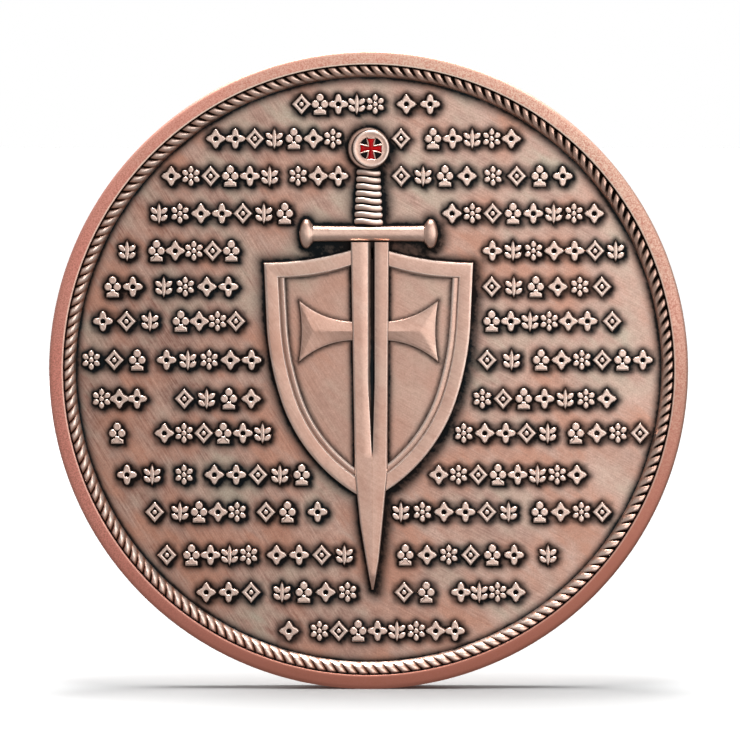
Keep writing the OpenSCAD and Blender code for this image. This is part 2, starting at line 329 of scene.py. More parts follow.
def antique_copper(name, light, deep, brushed=1.0, mottled=0.0, roughness=0.42, polish_and_highlight=0.5,
                   spread=0.34, patina=((36, 30, 28), (28, 33, 35))):
    """Copper plate, darkened and rubbed back. "finish" holds the patina and painted shade, and the
    wear and painted highlights.
    """
    m = Nodes(name)
    dark, wear_and_highlight, spot, axes = m.sources()

    # brushing runs steeply on the left half of the face and flatter on the right
    side = m.ramp(axes[0], -0.004, 0.003)
    steep = m.turned(spot, -58, (460, 900, 7600))
    flat = m.turned(spot, -28, (460, 900, 7600))
    streak_l = m.noise(steep, 1.0, 3.0, 0.6)
    streak_r = m.noise(flat, 1.0, 3.0, 0.6)
    streak = m.add("ShaderNodeMix", {0: side, 2: streak_l, 3: streak_r}).outputs[0]
    broad = m.noise(m.turned(spot, -42, (220, 420, 640)), 1.0, 3.0, 0.55)
    cloud = m.noise(spot, 190.0, 2.0, 0.5)
    speckle = m.noise(spot, 2600.0, 3.0, 0.6)
    grain = m.noise(spot, 9000.0, 2.0, 0.5)

    tone = m.math("MULTIPLY_ADD", streak, 0.5 * brushed, m.math("MULTIPLY", broad, 0.35))
    tone = m.math("MULTIPLY_ADD", speckle, 0.3, tone)
    middle_tone = 0.25 * brushed + 0.325
    tone = m.ramp(tone, middle_tone - spread * 0.4, middle_tone + spread * 0.6)
    colour = m.mix(tone, deep, light)
    # painted light: the right side of the face is painted brighter than the left, as if lit from
    # the right
    bright = m.math("MULTIPLY_ADD", axes[2], 0.25, axes[0])
    colour = m.mix(m.ramp(bright, -0.016, 0.014, 0.0, 0.26), colour, rgb(255, 224, 208))
    if mottled:
        patch = m.math("MULTIPLY", m.ramp(cloud, 0.48, 0.66), m.ramp(broad, 0.4, 0.6))
        colour = m.mix(m.math("MULTIPLY", patch, mottled), colour, rgb(196, 192, 172))
        warm = m.math("MULTIPLY", m.ramp(cloud, 0.56, 0.4), m.ramp(broad, 0.62, 0.44))
        colour = m.mix(m.math("MULTIPLY", warm, mottled * 0.95), colour, rgb(208, 148, 122))
    # wear and painted highlight: rubbed edges and crests are painted near white
    colour = m.mix(m.math("MULTIPLY", wear_and_highlight, polish_and_highlight), colour, rgb(250, 232, 220))
    colour = m.mix(m.ramp(grain, 0.35, 0.75, 0.0, 0.35), colour, deep)
    # the dark finish is rubbed away in streaks and patches where it is thin
    uneven = m.math("MULTIPLY_ADD", broad, 0.45, m.math("MULTIPLY", streak, 0.15))
    uneven = m.math("MULTIPLY_ADD", speckle, 0.4, uneven)
    patina_and_painted_shade = m.math("ADD", m.math("SUBTRACT", uneven, 0.5), dark)
    # painted shade: the lower left of the face is painted a little darker
    patina_and_painted_shade = m.math("ADD", patina_and_painted_shade, m.ramp(bright, -0.02, 0.004, 0.1, 0.0))
    patina_and_painted_shade = m.ramp(patina_and_painted_shade, 0.1, 0.9)
    patina = m.mix(m.ramp(cloud, 0.4, 0.6), rgb(*patina[0]), rgb(*patina[1]))
    colour = m.mix(patina_and_painted_shade, colour, patina)
    m.out("Base Color", colour)
    m.out("Metallic", 1.0)

    rough = m.math("MULTIPLY_ADD", m.math("SUBTRACT", streak, 0.5), 0.35 * brushed, roughness)
    rough = m.math("MULTIPLY_ADD", patina_and_painted_shade, 0.2, rough)
    m.out("Roughness", rough)
    height = m.math("MULTIPLY_ADD", streak, brushed, m.math("MULTIPLY", grain, 0.25))
    m.bump(height, 0.35, 0.00002)
    return m.material


def blasted_copper(name):
    """The rim: bright copper with an even, fine matt grain."""
    m = Nodes(name)
    dark, wear_and_highlight, spot, axes = m.sources()
    grain = m.noise(spot, 9500.0, 2.0, 0.6)
    cloud = m.noise(spot, 260.0, 2.0, 0.5)
    # painted light: the rim is painted paler at the upper right and redder at the lower left, as
    # the light falls, with some random tone
    tone_and_painted_light = m.ramp(m.math("ADD", axes[0], axes[2]), -0.012, 0.03)
    tone_and_painted_light = m.math("MULTIPLY_ADD", m.math("SUBTRACT", cloud, 0.5), 0.8, tone_and_painted_light, clamp=True)
    colour = m.mix(tone_and_painted_light, rgb(238, 160, 144), rgb(216, 184, 164))
    # painted shade: darker and browner at the bottom, more on the right
    low = m.math("MULTIPLY_ADD", axes[0], 0.35, m.math("MULTIPLY", axes[2], -1.0))
    colour = m.mix(m.ramp(low, 0.003, 0.0195, 0.0, 0.9), colour, rgb(176, 110, 90))
    colour = m.mix(m.ramp(grain, 0.38, 0.67, 0.0, 0.85), colour, rgb(192, 126, 110))
    # wear and painted highlight: the rubbed lip is painted near white
    colour = m.mix(m.math("MULTIPLY", wear_and_highlight, 0.9), colour, rgb(255, 234, 216))
    colour = m.mix(dark, colour, rgb(38, 40, 42))
    m.out("Base Color", colour)
    m.out("Metallic", 1.0)
    m.out("Roughness", m.ramp(grain, 0.3, 0.7, 0.48, 0.62))
    m.bump(grain, 0.3, 0.00001)
    return m.material


def enamel_red(name):
    """Soft enamel: glossy red with faint depth and specks."""
    m = Nodes(name)
    spot = m.add("ShaderNodeTexCoord").outputs["Object"]
    cloud = m.noise(spot, 1600.0, 2.0, 0.5)
    speck = m.noise(spot, 9000.0, 2.0, 0.5)
    colour = m.mix(m.ramp(cloud, 0.35, 0.65), rgb(126, 0, 2), rgb(164, 2, 5))
    m.out("Base Color", colour)
    m.out("Roughness", m.ramp(speck, 0.3, 0.7, 0.14, 0.26))
    m.out("Specular IOR Level", 0.12)
    m.bump(cloud, 0.2, 0.00003)
    return m.material


FIELD = antique_copper("field_copper", rgb(231, 194, 176), rgb(142, 104, 91), mottled=0.6)
REVERSE = antique_copper("reverse_copper", rgb(231, 194, 176), rgb(150, 112, 98), mottled=0.15)
RELIEF = antique_copper("relief_copper", rgb(223, 186, 168), rgb(182, 140, 123), brushed=0.9,
                        mottled=0.15, roughness=0.4, polish_and_highlight=0.9)
PLATE = antique_copper("plate_copper", rgb(222, 180, 162), rgb(160, 119, 103), mottled=0.3,
                       spread=0.4)
ROPE = antique_copper("rope_copper", rgb(228, 186, 166), rgb(186, 130, 106), brushed=0.2,
                      roughness=0.38, polish_and_highlight=0.9, spread=0.5, patina=((44, 30, 24), (34, 24, 20)))
RIM = blasted_copper("rim_copper")
ENAMEL = enamel_red("red_enamel")

# ---- shield ----

SHIELD_HIGH = node_mm("shield_plate")[1]
SHIELD_X = SHIELD_HIGH[0]
SHIELD_PEAK = SHIELD_HIGH[2]
# height of the top corners, then the sides: a straight part and two arcs that meet at BEND
SHIELD_Z = 7.45
SIDE_LEN = 4.0
SIDE_TILT = math.radians(2.4)
SIDE_R = 20.4
BEND = math.radians(18.4)
POINT_R = 12.0
FRAME_W = 1.0
LEDGE_W = 0.45


def down(angle):
    return np.array([math.cos(angle), -math.sin(angle)])


SIDE_CENTRE = (np.array([SHIELD_X, SHIELD_Z])
               - SIDE_LEN * np.array([math.sin(SIDE_TILT), math.cos(SIDE_TILT)])
               - SIDE_R * down(SIDE_TILT))
POINT_CENTRE = SIDE_CENTRE + (SIDE_R - POINT_R) * down(BEND)


def shield_half(inset, top_inset):
    """The right half of the shield's outline, from its peak down to its point."""
    points = []
    for k in range(25):
        t = k / 24
        sweep = (SHIELD_PEAK - SHIELD_Z) * (1 - t) ** 2
        points.append(np.array([(SHIELD_X - inset) * t, SHIELD_Z - top_inset + sweep]))
    corner = points[-1]
    first = SIDE_CENTRE + (SIDE_R - inset) * down(SIDE_TILT)
    points += [corner + (first - corner) * k / 12 for k in range(1, 12)]
    for angle in np.linspace(SIDE_TILT, BEND, 17):
        points.append(SIDE_CENTRE + (SIDE_R - inset) * down(angle))
    end = math.acos(-POINT_CENTRE[0] / (POINT_R - inset))
    for k in range(1, 33):
        points.append(POINT_CENTRE + (POINT_R - inset) * down(BEND + (end - BEND) * k / 32))
    return np.array(points)


def shield_outline(inset, top_inset=None):
    """The whole outline, anticlockwise."""
    right = shield_half(inset, inset if top_inset is None else top_inset)
    left = right[1:-1] * (-1, 1)
    return np.concatenate([right, left[::-1]])[::-1]


def grid_fill(outline, spacing, height, finish, lines=()):
    """A filled outline with points inside it. Returns points, their h and finish, and faces."""
    low, high = outline.min(axis=0), outline.max(axis=0)
    xs = np.arange(low[0] + spacing / 2, high[0], spacing)
    zs = np.arange(low[1] + spacing / 2, high[1], spacing)
    gx, gz = np.meshgrid(xs, zs)
    gx[1::2] += spacing / 2
    inside = np.stack([gx.ravel(), gz.ravel()], axis=1)
    edges = [(i, (i + 1) % len(outline)) for i in range(len(outline))]
    points = [Vector(p) for p in outline]
    for line in lines:
        start = len(points)
        points += [Vector(p) for p in line]
        edges += [(start + i, start + i + 1) for i in range(len(line) - 1)]
    keep = far_from(inside, outline, spacing * 0.6)
    points += [Vector(p) for p in inside[keep]]
    out = geometry.delaunay_2d_cdt(points, edges, [list(range(len(outline)))], 1, 1e-5)
    xz = np.array([tuple(v) for v in out[0]])
    h = np.array([height(*p) for p in xz])
    marks = [finish(*p) for p in xz]
    return xz, h, marks, [tuple(f) for f in out[2]], out[3]


def far_from(points, outline, gap):
    """Which points lie inside the outline and at least gap away from it."""
    tree = tree_of([outline])
    x, z = points[:, 0], points[:, 1]
    inside = np.zeros(len(points), bool)
    for a, b in zip(outline, np.roll(outline, -1, axis=0)):
        crosses = (a[1] > z) != (b[1] > z)
        with np.errstate(divide="ignore", invalid="ignore"):
            at = (b[0] - a[0]) * (z - a[1]) / (b[1] - a[1]) + a[0]
        inside ^= crosses & (x < at)
    far = np.array([tree.find((*p, 0))[2] > gap for p in points])
    return inside & far


def tree_of(loops):
    """A search tree over the points of some outlines."""
    points = np.concatenate(loops)
    tree = kdtree.KDTree(len(points))
    for i, p in enumerate(points):
        tree.insert((*p, 0), i)
    tree.balance()
    return tree


def crown_on(shape, ring, outline, spacing, height, finish, lines=()):
    """Fills an outline with a dense top and joins it to a ring with as many points."""
    xz, h, marks, faces, origins = grid_fill(outline, spacing, height, finish, lines)
    start = len(shape.points)
    for p, hp, mark in zip(xz, h, marks):
        shape.points.append((p[0], p[1], hp))
        shape.finish.append(mark)
    shape.faces += [tuple(start + i for i in f) for f in faces]
    place_of = {old: new for new, olds in enumerate(origins) for old in olds}
    shape.band([start + place_of[i] for i in range(len(outline))], ring)


def filled(shape, outline, spacing, height, finish, base):
    """A solid whose top is a dense filled outline and whose walls go straight down to base."""
    foot = shape.ring(outline, base, 1.0)
    shape.cap(foot)
    crown_on(shape, foot, outline, spacing, height, finish)


def make_frame_and_ledge():
    """The frame's flat face and the lower ledge inside it, each swept round the outline."""
    frame_top = top_of("shield_frame")
    ledge_top = top_of("shield_ledge")
    ground = top_of("shield_plate")
    add_foot(shield_outline(-0.03), "bold")
    add_foot(shield_outline(FRAME_W + LEDGE_W, FRAME_W), "inner")

    def sweep(name, node, profile):
        shape = Shape()
        rings = [shape.ring(shield_outline(*d), h, dark, wear_and_highlight) for d, h, dark, wear_and_highlight in profile]
        shape.bands(rings)
        shape.band(rings[-1], rings[0])
        shape.make(name, node, RELIEF)

    w = FRAME_W
    sweep("shield_frame_bevelled", "shield_frame", [
        ((-0.08,), 0.0, 1.0, 0.0), ((-0.03,), frame_top * 0.6, 0.8, 0.0),
        ((0.0,), frame_top - 0.06, 0.2, 0.4), ((0.03,), frame_top - 0.02, 0.0, 0.9),
        ((0.09,), frame_top, 0.0, 0.3), ((0.2,), frame_top, 0.0, 0.0),
        ((w - 0.12,), frame_top, 0.0, 0.0), ((w - 0.07,), frame_top - 0.005, 0.0, 0.8),
        ((w,), frame_top - 0.07, 0.0, 1.0), ((w + 0.03,), frame_top - 0.12, 0.3, 0.0),
        ((w + 0.04,), ledge_top - 0.05, 0.6, 0.0), ((w - 0.1,), ground, 1.0, 0.0),
    ])
    # the ledge runs down the sides only: along the top the frame drops straight to the ground
    inner = w + LEDGE_W
    sweep("shield_ledge_stepped", "shield_ledge", [
        ((w, w), ground, 1.0, 0.0), ((w + 0.02, w + 0.01), ledge_top - 0.03, 0.5, 0.0),
        ((w + 0.07, w + 0.015), ledge_top - 0.01, 0.25, 0.0),
        ((inner - 0.15, w + 0.02), ledge_top, 0.0, 0.1),
        ((inner - 0.1, w + 0.025), ledge_top - 0.005, 0.0, 1.0),
        ((inner - 0.03, w + 0.03), ledge_top - 0.06, 0.0, 1.0),
        ((inner, w + 0.04), ground + 0.03, 0.6, 0.0),
        ((inner + 0.04, w + 0.05), ground - 0.02, 1.0, 0.0),
    ])


# ---- cross on the shield ----

CROSS_Z = middle("shield_cross")[2]
ARM_TIP_X = node_mm("shield_cross")[1][0]
ARM_TIP_H = node_mm("shield_cross")[1][2] - CROSS_Z
ARM_ROOT_X = 0.6
ARM_ROOT_H = 0.62
# how far each arm's ridge runs before it forks
ARM_FORK = {1: 3.6, -1: 3.85}


def arm_outline(side):
    """One arm of the cross: hollow edges that flare out to two points."""
    t = np.linspace(0, 1, 25)
    x = ARM_ROOT_X + (ARM_TIP_X - ARM_ROOT_X) * t
    half = ARM_ROOT_H + (ARM_TIP_H - ARM_ROOT_H) * t ** 2.4
    lower = np.stack([x, CROSS_Z - half], axis=1)
    upper = np.stack([x, CROSS_Z + half], axis=1)[::-1]
    s = np.linspace(-1, 1, 17)[1:-1]
    end = np.stack([ARM_TIP_X - 0.2 * (1 - s ** 2), CROSS_Z + ARM_TIP_H * s], axis=1)
    outline = np.concatenate([lower, end, upper])
    outline = resample(outline, 0.14)
    return outline if side > 0 else (outline * (-1, 1))[::-1]


def make_cross():
    """Each arm has a drafted edge, then two slopes up to a ridge that forks to the tips."""
    top = top_of("shield_cross")
    rise = 0.085
    shape = Shape()
    for side in (1, -1):
        outline = arm_outline(side)
        add_foot(outline, "inner")
        normal = outward(outline)
        fork = np.array([side * ARM_FORK[side], CROSS_Z])
        root = np.array([side * ARM_ROOT_X, CROSS_Z])
        inset = 0.07
        tips = [np.array([side * (ARM_TIP_X - 0.2), CROSS_Z + s * (ARM_TIP_H - 0.3)])
                for s in (1, -1)]
        lines = [
            [root + (fork - root) * k / 20 for k in range(1, 21)],
            [fork + (tips[0] - fork) * k / 8 for k in range(1, 8)],
            [fork + (tips[1] - fork) * k / 8 for k in range(1, 8)],
        ]

        def height(x, z):
            along = max(side * x, ARM_ROOT_X)
            half = ARM_ROOT_H - inset + (ARM_TIP_H - ARM_ROOT_H) * (
                (along - ARM_ROOT_X) / (ARM_TIP_X - ARM_ROOT_X)) ** 2.4
            slope = 1 - abs(z - CROSS_Z) / half
            out = (ARM_TIP_X - 0.2 - along) / (ARM_TIP_X - 0.2 - ARM_FORK[side])
            return top - rise * (1 - max(0.0, min(slope, out, 1.0)))

        walls = [(0.05, 0.05, 1.0, 0.0), (0.02, top - rise - 0.08, 0.7, 0.0),
                 (0.0, top - rise - 0.05, 0.15, 0.3), (-0.025, top - rise - 0.012, 0.0, 0.8)]
        rings = [shape.ring(outline + normal * d, h, dark, wear_and_highlight) for d, h, dark, wear_and_highlight in walls]
        shape.bands(rings)
        shape.cap(rings[0])
        inner = outline - normal * inset
        crown_on(shape, rings[-1], inner, 0.13, height, lambda x, z: (0.0, 0.0), lines)
    shape.make("shield_cross_arms", "shield_cross", RELIEF, sharp=12)


def make_plate():
    """The shield's ground, darker close to what stands on it."""
    ground = top_of("shield_plate")
    tree = tree_of(FEET["inner"])
    blade = tree_of([resample(blade_outline(), 0.12)])

    def finish(x, z):
        near = tree.find((x, z, 0))[2]
        by_blade = blade.find((x, z, 0))[2]
        dark = max(0.75 / (1 + (near / 0.2) ** 3), 0.95 / (1 + (by_blade / 0.26) ** 3))
        return (dark, 0.0)

    shape = Shape()
    filled(shape, shield_outline(0.4), 0.2, lambda x, z: ground, finish, FOOT_H)
    shape.make("shield_ground", "shield_plate", PLATE)


# ---- sword ----

BLADE_TOP = node_mm("sword_blade")[1][2]
BLADE_RISE = top_of("sword_blade")
# height along the blade, then its left and right edges
BLADE_EDGES = [(9.1, -1.24, 1.42), (-7.3, -0.94, 1.29), (-10.6, -0.6, 0.98), (-13.2, -0.18, 0.72)]
TIP = (0.27, -15.3)
FULLER = (0.0, 0.4)
FULLER_END = -5.9


def blade_edge(z):
    """Left and right edge of the blade at height z, with a rounded tip."""
    heights = [row[0] for row in BLADE_EDGES][::-1]
    left = np.interp(z, [TIP[1]] + heights, [TIP[0] - 0.06] + [r[1] for r in BLADE_EDGES][::-1])
    right = np.interp(z, [TIP[1]] + heights, [TIP[0] + 0.08] + [r[2] for r in BLADE_EDGES][::-1])
    return left, right


def blade_outline():
    zs = np.linspace(TIP[1], BLADE_TOP, 120)
    sides = np.array([blade_edge(z) for z in zs])
    right = np.stack([sides[:, 1], zs], axis=1)
    left = np.stack([sides[:, 0], zs], axis=1)[::-1]
    return np.concatenate([right, left])


def make_blade():
    add_foot(blade_outline(), "bold")
    shape = Shape()
    sections = []
    for z in np.linspace(TIP[1], BLADE_TOP, 110):
        left, right = blade_edge(z)
        # the fuller fades into a plain centre ridge
        open_part = min(1.0, max(0.0, (z - FULLER_END) / 5.0))
        deep = min(1.0, open_part * 20)
        deep *= deep * (3 - 2 * deep)
        ridge = (FULLER[0] + FULLER[1]) / 2 + 0.05 * (1 - open_part)
        half = 0.04 + (FULLER[1] - FULLER[0]) / 2 * open_part
        # near the tip the whole section sinks
        low = min(1.0, (z - TIP[1] + 0.25) / 1.2) ** 0.5
        top = BLADE_RISE * low
        shoulder = (BLADE_RISE - 0.02) * low
        wide = max(right - left, 0.05)
        in_edge = min(0.09, wide * 0.2)
        half = min(half, wide * 0.15)
        edge = [
            (-0.06, FOOT_H, 1.0, 0.0), (-0.02, shoulder * 0.6, 0.8, 0.0),
            (0.01, shoulder - 0.05, 0.2, 0.4), (in_edge * 0.5, shoulder - 0.01, 0.0, 1.0),
            (in_edge, shoulder + 0.01, 0.0, 0.3), (in_edge * 1.3, shoulder + 0.011, 0.0, 0.0),
        ]
        # patina in the fuller, painted darker on its right side as shade
        inner = [
            ((left + ridge - half) / 2, (top + shoulder) / 2, 0.0, 0.0),
            (ridge - half - 0.06 * deep - 0.01, top - 0.005 * deep, 0.0, 0.1),
            (ridge - half, top - 0.02 * deep, 0.1 * deep, 0.1 + 0.6 * deep),
            (ridge - half * 0.7, top - 0.1 * deep, 0.45 * deep, 0.0),
            (ridge - half * 0.1, top - 0.2 * deep, 0.95 * deep, 0.0),
            (ridge + half * 0.45, top - 0.2 * deep, deep, 0.0),
            (ridge + half * 0.75, top - 0.13 * deep, 0.85 * deep, 0.0),
            (ridge + half, top - 0.02 * deep, 0.1 * deep, 0.1 + 0.6 * deep),
            (ridge + half + 0.06 * deep + 0.01, top - 0.005 * deep, 0.0, 0.1),
            ((right + ridge + half) / 2, (top + shoulder) / 2, 0.0, 0.0),
        ]
        side = ([(left + x, *rest) for x, *rest in edge] + inner
                + [(right - x, *rest) for x, *rest in edge[::-1]])
        xs, hs, darks, wear_and_highlights = zip(*side)
        sections.append(shape.ring([(x, z) for x in xs], hs, darks, wear_and_highlights))
    shape.tube(sections)
    shape.make("sword_blade_forged", "sword_blade", RELIEF, sharp=40)


def half_round(points):
    """Places across a half-round section, with their heights and dark finish."""
    a = np.linspace(0, math.pi, points)
    rise = np.sin(a) ** 0.55
    dark = np.clip(1.22 - rise * 1.7, 0, 1)
    return np.cos(a), rise, dark


def rounded_bar(shape, stations, rise_of, half_of, centre_of, axis):
    """A half-round form along x or z: one section at each station."""
    across, up, dark = half_round(19)
    sections = []
    for s in stations:
        half, rise, mid = half_of(s), rise_of(s), centre_of(s)
        if axis == "x":
            xz = [(s, mid + half * c) for c in across]
        else:
            xz = [(mid + half * c, s) for c in across]
        sections.append(shape.ring(xz, up * rise + FOOT_H, dark, 0.12 * (up > 0.9)))
    shape.tube(sections)


GUARD_LOW, GUARD_HIGH = node_mm("sword_guard")
GUARD_Z = middle("sword_guard")[2]
GUARD_HALF = GUARD_HIGH[0]
GUARD_R = (GUARD_HIGH[2] - GUARD_LOW[2]) / 2
KNOB_LOW, KNOB_HIGH = node_mm("guard_knobs")
KNOB_END = KNOB_HIGH[0]
KNOB_H = (KNOB_HIGH[2] - KNOB_LOW[2]) / 2


def make_guard():
    shape = Shape()
    rise = top_of("sword_guard")
    rounded_bar(
        shape, np.linspace(-GUARD_HALF - 0.03, GUARD_HALF + 0.03, 61),
        lambda x: rise * (0.95 + 0.05 * (x / GUARD_HALF) ** 4),
        lambda x: GUARD_R * (0.93 + 0.07 * (x / GUARD_HALF) ** 6),
        lambda x: GUARD_Z, "x")
    shape.make("sword_guard_bar", "sword_guard", RELIEF, sharp=60)
    foot = [(-GUARD_HALF, GUARD_Z - GUARD_R), (GUARD_HALF, GUARD_Z - GUARD_R),
            (GUARD_HALF, GUARD_Z + GUARD_R), (-GUARD_HALF, GUARD_Z + GUARD_R)]
    add_foot(np.array(foot), "bold")


def knob_size(x):
    """Half-height of a knob at x: it swells out of the bar in a hollow, then rounds over."""
    t = (abs(x) - GUARD_HALF) / (KNOB_END - GUARD_HALF)
    if t < 0.12:
        return KNOB_H * (0.56 + 0.24 * (t / 0.12) ** 1.6)
    return KNOB_H * max(0.05, 1 - (abs(t - 0.5) / 0.5) ** 2.3) ** 0.5


def make_knobs():
    rise = top_of("guard_knobs")
    shape = Shape()
    for side in (1, -1):
        dome = 0.3 + 0.7 * np.sin(np.linspace(0, math.pi / 2, 18))
        t = np.concatenate([np.linspace(0, 0.3, 8), dome[1:]])
        stations = side * (GUARD_HALF + (KNOB_END - GUARD_HALF) * t)
        rounded_bar(
            shape, stations, lambda x: rise * (knob_size(x) / KNOB_H) ** 0.22,
            knob_size, lambda x: GUARD_Z, "x")
        upper = [(x, GUARD_Z + knob_size(x)) for x in stations]
        lower = [(x, GUARD_Z - knob_size(x)) for x in stations[::-1]]
        add_foot(np.array(upper + lower), "bold")
    shape.make("guard_end_knobs", "guard_knobs", RELIEF, sharp=60)


GRIP_LOW, GRIP_HIGH = node_mm("sword_grip")
GRIP_BOTTOM, GRIP_TOP = GRIP_LOW[2], GRIP_HIGH[2]
GRIP_WIDE = GRIP_HIGH[0]
GRIP_NARROW = 1.63 / 2
WRAPS = 8


def grip_half(z):
    return float(np.interp(z, [GRIP_BOTTOM, GRIP_TOP], [GRIP_WIDE, GRIP_NARROW]))


def make_grip():
    shape = Shape()
    rounded_bar(
        shape, np.linspace(GRIP_BOTTOM - 0.2, GRIP_TOP + 0.2, 30), lambda z: 0.33,
        lambda z: grip_half(z) * 0.97, lambda z: 0.0, "z")
    # only dark lines of it show between the wraps
    shape.finish = [(1.0, 0.0)] * len(shape.finish)
    shape.make("grip_core", "sword_grip", FIELD, sharp=60)
    corners = [(-grip_half(GRIP_BOTTOM), GRIP_BOTTOM), (grip_half(GRIP_BOTTOM), GRIP_BOTTOM),
               (grip_half(GRIP_TOP), GRIP_TOP), (-grip_half(GRIP_TOP), GRIP_TOP)]
    add_foot(np.array(corners), "bold")


def make_wraps():
    """Flat turns of wire, each with the same wander as it crosses the grip."""
    top = top_of("grip_wraps")
    shape = Shape()
    pitch = (GRIP_TOP - GRIP_BOTTOM) / WRAPS
    across = np.linspace(-1, 1, 9)
    up = np.array([0.3, 0.84, 0.96, 1.0, 1.0, 1.0, 0.99, 0.9, 0.3])
    dark = np.array([1.0, 0.5, 0.0, 0.0, 0.0, 0.0, 0.0, 0.05, 1.0])
    # wear and painted highlight: each wrap is painted palest towards its upper edge
    wear_and_highlight = np.array([0.0, 0.0, 0.1, 0.2, 0.4, 0.6, 1.0, 1.0, 0.0])
    for k in range(WRAPS):
        z0 = GRIP_BOTTOM + pitch * (k + 0.5)
        lean, wave = rng.uniform(-0.05, -0.02), rng.uniform(0.025, 0.04)
        half = grip_half(z0)
        sections = []
        for t in np.linspace(-1, 1, 29):
            slim = math.sqrt(max(0.3, 1 - abs(t) ** 40))
            high = top * math.sqrt(1 - (0.93 * t) ** 2 * 0.6)
            z = z0 + lean * t - wave * math.sin(math.pi * t)
            xz = [(half * t, z + pitch * 0.475 * slim * c) for c in across]
            sections.append(shape.ring(xz, up * high, dark, wear_and_highlight))
        shape.tube(sections)
    shape.make("grip_wire_wraps", "grip_wraps", RELIEF, sharp=50)


POMMEL_Z = middle("sword_pommel")[2]
POMMEL_X = middle("pommel_enamel")[0]
POMMEL_R = (node_mm("sword_pommel")[1][2] - node_mm("sword_pommel")[0][2]) / 2
POMMEL_TOP = top_of("sword_pommel")
RECESS = 0.2
ARM_LEN = (node_mm("pommel_enamel")[1][0] - node_mm("pommel_enamel")[0][0]) / 2


def emblem_cross(grow):
    """A plain cross with flared arms and hollow ends, anticlockwise."""
    points = []
    for k in range(4):
        turn = k * math.pi / 2
        for u, v in [(0.13, -0.13), (0.44, -0.17), (ARM_LEN, -0.29), (ARM_LEN - 0.04, 0.0),
                     (ARM_LEN, 0.29), (0.44, 0.17)]:
            u, v = u + grow * (v != -0.13), v + grow * np.sign(v)
            points.append((POMMEL_X + u * math.cos(turn) - v * math.sin(turn),
                           POMMEL_Z + u * math.sin(turn) + v * math.cos(turn)))
    return np.array(points)


def emblem_pits():
    """Four three-cornered pits between the arms, each anticlockwise."""
    pits = []
    for k in range(4):
        mid = math.pi / 4 + k * math.pi / 2
        spread = np.linspace(-0.36, 0.36, 7)
        outer = [(0.83 * math.cos(mid + s), 0.83 * math.sin(mid + s)) for s in spread]
        inner = [(0.3 * math.cos(mid), 0.3 * math.sin(mid))]
        pits.append(np.array([(POMMEL_X + x, POMMEL_Z + z) for x, z in outer + inner]))
    return pits


def make_pommel():
    add_foot(circle(0, POMMEL_Z, POMMEL_R, 80), "bold")
    shape = Shape()
    # radius, height, middle, dark and worn: a turned foot, then the face, set a little to the right
    profile = [
        (POMMEL_R + 0.03, FOOT_H, 0.0, 1.0, 0.0), (POMMEL_R, 0.25, 0.0, 0.7, 0.0),
        (POMMEL_R - 0.02, 0.36, 0.0, 0.5, 0.0), (POMMEL_R - 0.06, 0.42, 0.0, 0.45, 0.2),
        (POMMEL_R - 0.14, 0.44, 0.03, 0.3, 0.0), (1.285, 0.42, POMMEL_X - 0.01, 0.95, 0.0),
        (1.28, 0.55, POMMEL_X, 0.6, 0.1), (1.27, POMMEL_TOP - 0.06, POMMEL_X, 0.2, 0.6),
        (1.22, POMMEL_TOP - 0.01, POMMEL_X, 0.0, 0.9), (1.14, POMMEL_TOP, POMMEL_X, 0.0, 0.6),
        (1.08, POMMEL_TOP - 0.008, POMMEL_X, 0.0, 0.2),
        (0.98, POMMEL_TOP - 0.025, POMMEL_X, 0.1, 0.1),
    ]
    rings = [shape.ring(circle(x, POMMEL_Z, r, 96), h, dark, wear_and_highlight)
             for r, h, x, dark, wear_and_highlight in profile]
    shape.bands(rings)
    shape.cap(rings[0])
    holes = []
    for loop in [emblem_cross(0.0)] + emblem_pits():
        loop = resample(loop, 0.06)[::-1]
        normal = outward(loop)
        steps = [(-0.025, -0.015, 0.0, 0.3), (0.0, -0.04, 0.1, 0.6), (0.02, -RECESS, 1.0, 0.0)]
        walls = [shape.ring(loop + normal * d, POMMEL_TOP + h, dark, wear_and_highlight)
                 for d, h, dark, wear_and_highlight in steps]
        shape.bands(walls)
        shape.cap(walls[-1])
        holes.append(walls[0])
    shape.cap(rings[-1], *holes)
    shape.make("sword_pommel_turned", "sword_pommel", RELIEF, sharp=35)


def make_enamel():
    shape = Shape()
    outline = resample(emblem_cross(-0.012), 0.05)
    tree = tree_of([resample(outline, 0.02)])

    def height(x, z):
        return POMMEL_TOP - 0.07 + 0.05 * min(1.0, tree.find((x, z, 0))[2] / 0.1) ** 0.5

    filled(shape, outline, 0.04, height, lambda x, z: (0.0, 0.0), POMMEL_TOP - RECESS)
    shape.make("enamel_cross_fill", "pommel_enamel", ENAMEL, sharp=60)


# ---- ornament: none of these shapes is a letter or a numeral ----


def polar_loop(radius, count=48):
    a = np.arange(count) * 2 * math.pi / count
    r = np.array([radius(v) for v in a])
    return np.stack([r * np.cos(a), r * np.sin(a)], axis=1)


def lens(length, width, angle, at=(0.0, 0.0)):
    """A pointed leaf that starts at a point and runs out at an angle."""
    t = np.linspace(0, 1, 9)
    half = width / 2 * np.sin(t * math.pi) ** 0.6
    lower = np.stack([t * length, -half], axis=1)
    upper = np.stack([t * length, half], axis=1)[::-1][1:-1]
    points = np.concatenate([lower, upper])
    c, s = math.cos(angle), math.sin(angle)
    return points @ np.array([[c, s], [-s, c]]) + at


def hollow_lozenge(w, h, pull):
    """A lozenge whose sides bow in by pull."""
    corners = np.array([(w / 2, 0), (0, h / 2), (-w / 2, 0), (0, -h / 2)])
    points = []
    for a, b in zip(corners, np.roll(corners, -1, axis=0)):
        for t in np.arange(8) / 8:
            points.append((a + (b - a) * t) * (1 - pull * math.sin(t * math.pi)))
    return np.array(points)


